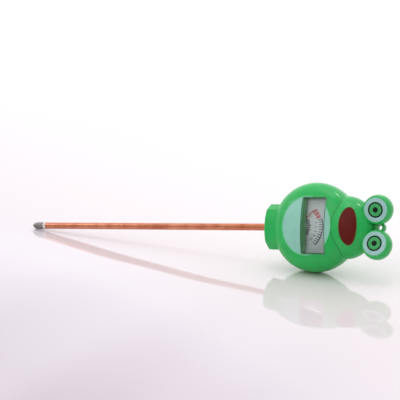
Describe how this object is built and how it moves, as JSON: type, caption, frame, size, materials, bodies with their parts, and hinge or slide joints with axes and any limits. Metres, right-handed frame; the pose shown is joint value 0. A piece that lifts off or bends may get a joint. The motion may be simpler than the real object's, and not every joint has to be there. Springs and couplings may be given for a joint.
{
  "type": "soil moisture meter",
  "caption": "Frog-shaped soil moisture meter: round green body with a dial window and pointer, head with disc eyes, hanging loop, and a long copper probe with an insulated dark tip.",
  "frame": {"origin": "on the probe's axis where the tube leaves the lower face of the collar, which is as deep as the probe can be pushed into soil", "axes": "+Z along the probe from its point towards the head; the face and dial look along -Y; +X is to the right of someone who reads the dial"},
  "size_m": [0.0614, 0.0349, 0.3007],
  "materials": {
    "green_plastic": "glossy moulded ABS, frog green",
    "mint_plastic": "satin pale mint inlay",
    "mouth_plastic": "dark red satin inlay",
    "white_plastic": "glossy white disc",
    "clear_lens": "clear polystyrene window",
    "dial_print": "printed dial, matt off-white",
    "black_plastic": "black moulded frame",
    "steel": "turned steel",
    "magnet": "sintered magnet",
    "brass": "stamped and turned brass",
    "aluminium": "thin drawn aluminium",
    "coil_wire": "enamelled copper winding",
    "pointer_red": "red paint on the pointer",
    "copper": "drawn copper tube, satin",
    "zinc_alloy": "dark grey zinc alloy point",
    "white_nylon": "white nylon insulator",
    "wire_red": "red insulated lead",
    "wire_black": "black insulated lead"
  },
  "bodies": {
    "housing": {"front_shell": "green_plastic", "rear_shell": "green_plastic", "belly_badge": "mint_plastic", "mouth_badge": "mouth_plastic", "eye_ball_left": "green_plastic", "eye_ball_right": "green_plastic", "eye_disc_left": "white_plastic", "eye_disc_right": "white_plastic", "window_lens": "clear_lens", "dial_plate": "dial_print", "movement_cup": "black_plastic", "yoke_ring": "steel", "core_magnet": "magnet", "core_clamp": "brass", "front_bridge": "brass", "rear_bridge": "brass", "bearing_screws": "brass", "bridge_screws": "steel", "dial_screws": "steel", "movement_screws": "steel", "hairspring_front": "brass", "hairspring_rear": "brass", "probe_tube": "copper", "probe_tip": "zinc_alloy", "insulator_ring": "white_nylon", "insulating_sleeve": "white_nylon", "core_rod": "steel", "probe_bush": "white_nylon", "tube_terminal": "brass", "rod_terminal": "brass", "lead_to_rear_bridge": "wire_red", "lead_to_front_bridge": "wire_black", "shell_screws": "steel"},
    "movement": {"coil_former": "aluminium", "coil_winding": "coil_wire", "pivot_front": "steel", "pivot_rear": "steel", "pointer": "pointer_red", "balance_weights": "brass"}
  },
  "joints": [
    {"name": "pointer_turn", "type": "hinge", "parent": "housing", "child": "movement", "pos_m": [0, 0, 0.0249], "axis": [0, 1, 0], "range_deg": [0, 90], "stiffness_Nm_per_rad": 0.000005, "deforming": ["hairspring_front", "hairspring_rear"]}
  ]
}
